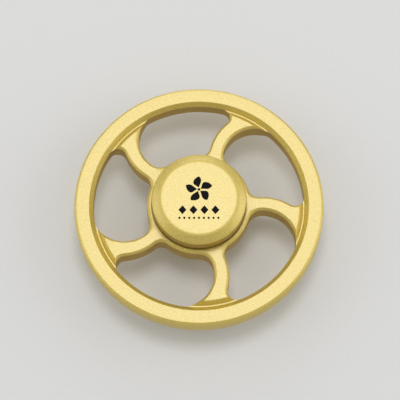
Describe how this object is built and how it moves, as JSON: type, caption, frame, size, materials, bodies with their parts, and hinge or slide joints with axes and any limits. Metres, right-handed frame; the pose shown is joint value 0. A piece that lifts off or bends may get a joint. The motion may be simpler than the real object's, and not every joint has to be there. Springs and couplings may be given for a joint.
{
  "type": "fidget spinner",
  "caption": "Wheel-shaped fidget spinner: a flat rim, swept spokes and a hub that turn on a small ball bearing between two round finger caps.",
  "frame": {"origin": "centre of the back cap's flat face, which the spinner lies on", "axes": "+Z along the spin axis, out of the front cap; +X and +Y in the wheel's plane, with one spoke's root on +X"},
  "size_m": [0.06, 0.06, 0.0152],
  "materials": {
    "matte_gold": "matte",
    "ring_steel": "satin",
    "ball_steel": "polished",
    "cage_steel": "satin",
    "spring_steel": "satin",
    "screw_steel": "matte"
  },
  "bodies": {
    "caps": {"finger_cap_front": "matte_gold", "finger_cap_back": "matte_gold", "cap_screw": "screw_steel", "bearing_inner_ring": "ring_steel"},
    "wheel": {"wheel_frame": "matte_gold", "bearing_outer_ring": "ring_steel", "bearing_shield_front": "spring_steel", "bearing_shield_back": "spring_steel", "snap_ring_front": "spring_steel", "snap_ring_back": "spring_steel"},
    "cage": {"ball_cage": "cage_steel"},
    "ball_1": {"bearing_ball_1": "ball_steel"},
    "ball_2": {"bearing_ball_2": "ball_steel"},
    "ball_3": {"bearing_ball_3": "ball_steel"},
    "ball_4": {"bearing_ball_4": "ball_steel"},
    "ball_5": {"bearing_ball_5": "ball_steel"},
    "ball_6": {"bearing_ball_6": "ball_steel"},
    "ball_7": {"bearing_ball_7": "ball_steel"},
    "ball_8": {"bearing_ball_8": "ball_steel"},
    "ball_9": {"bearing_ball_9": "ball_steel"},
    "ball_10": {"bearing_ball_10": "ball_steel"}
  },
  "joints": [
    {"name": "wheel_spin", "type": "hinge", "parent": "caps", "child": "wheel", "pos_m": [0, 0, 0.0076], "axis": [0, 0, 1], "continuous": true},
    {"name": "cage_spin", "type": "hinge", "parent": "caps", "child": "cage", "pos_m": [0, 0, 0.0076], "axis": [0, 0, 1], "continuous": true},
    {"name": "ball_1_spin", "type": "hinge", "parent": "cage", "child": "ball_1", "pos_m": [0.00476, 0, 0.0076], "axis": [0, 0, 1], "continuous": true},
    {"name": "ball_2_spin", "type": "hinge", "parent": "cage", "child": "ball_2", "pos_m": [0.00385, 0.0028, 0.0076], "axis": [0, 0, 1], "continuous": true},
    {"name": "ball_3_spin", "type": "hinge", "parent": "cage", "child": "ball_3", "pos_m": [0.00147, 0.00453, 0.0076], "axis": [0, 0, 1], "continuous": true},
    {"name": "ball_4_spin", "type": "hinge", "parent": "cage", "child": "ball_4", "pos_m": [-0.00147, 0.00453, 0.0076], "axis": [0, 0, 1], "continuous": true},
    {"name": "ball_5_spin", "type": "hinge", "parent": "cage", "child": "ball_5", "pos_m": [-0.00385, 0.0028, 0.0076], "axis": [0, 0, 1], "continuous": true},
    {"name": "ball_6_spin", "type": "hinge", "parent": "cage", "child": "ball_6", "pos_m": [-0.00476, 0, 0.0076], "axis": [0, 0, 1], "continuous": true},
    {"name": "ball_7_spin", "type": "hinge", "parent": "cage", "child": "ball_7", "pos_m": [-0.00385, -0.0028, 0.0076], "axis": [0, 0, 1], "continuous": true},
    {"name": "ball_8_spin", "type": "hinge", "parent": "cage", "child": "ball_8", "pos_m": [-0.00147, -0.00453, 0.0076], "axis": [0, 0, 1], "continuous": true},
    {"name": "ball_9_spin", "type": "hinge", "parent": "cage", "child": "ball_9", "pos_m": [0.00147, -0.00453, 0.0076], "axis": [0, 0, 1], "continuous": true},
    {"name": "ball_10_spin", "type": "hinge", "parent": "cage", "child": "ball_10", "pos_m": [0.00385, -0.0028, 0.0076], "axis": [0, 0, 1], "continuous": true}
  ],
  "couplings": [
    {"joint": "cage_spin", "follows": "wheel_spin", "ratio": 0.625},
    {"joint": "ball_1_spin", "follows": "wheel_spin", "ratio": 1.875},
    {"joint": "ball_2_spin", "follows": "wheel_spin", "ratio": 1.875},
    {"joint": "ball_3_spin", "follows": "wheel_spin", "ratio": 1.875},
    {"joint": "ball_4_spin", "follows": "wheel_spin", "ratio": 1.875},
    {"joint": "ball_5_spin", "follows": "wheel_spin", "ratio": 1.875},
    {"joint": "ball_6_spin", "follows": "wheel_spin", "ratio": 1.875},
    {"joint": "ball_7_spin", "follows": "wheel_spin", "ratio": 1.875},
    {"joint": "ball_8_spin", "follows": "wheel_spin", "ratio": 1.875},
    {"joint": "ball_9_spin", "follows": "wheel_spin", "ratio": 1.875},
    {"joint": "ball_10_spin", "follows": "wheel_spin", "ratio": 1.875}
  ]
}
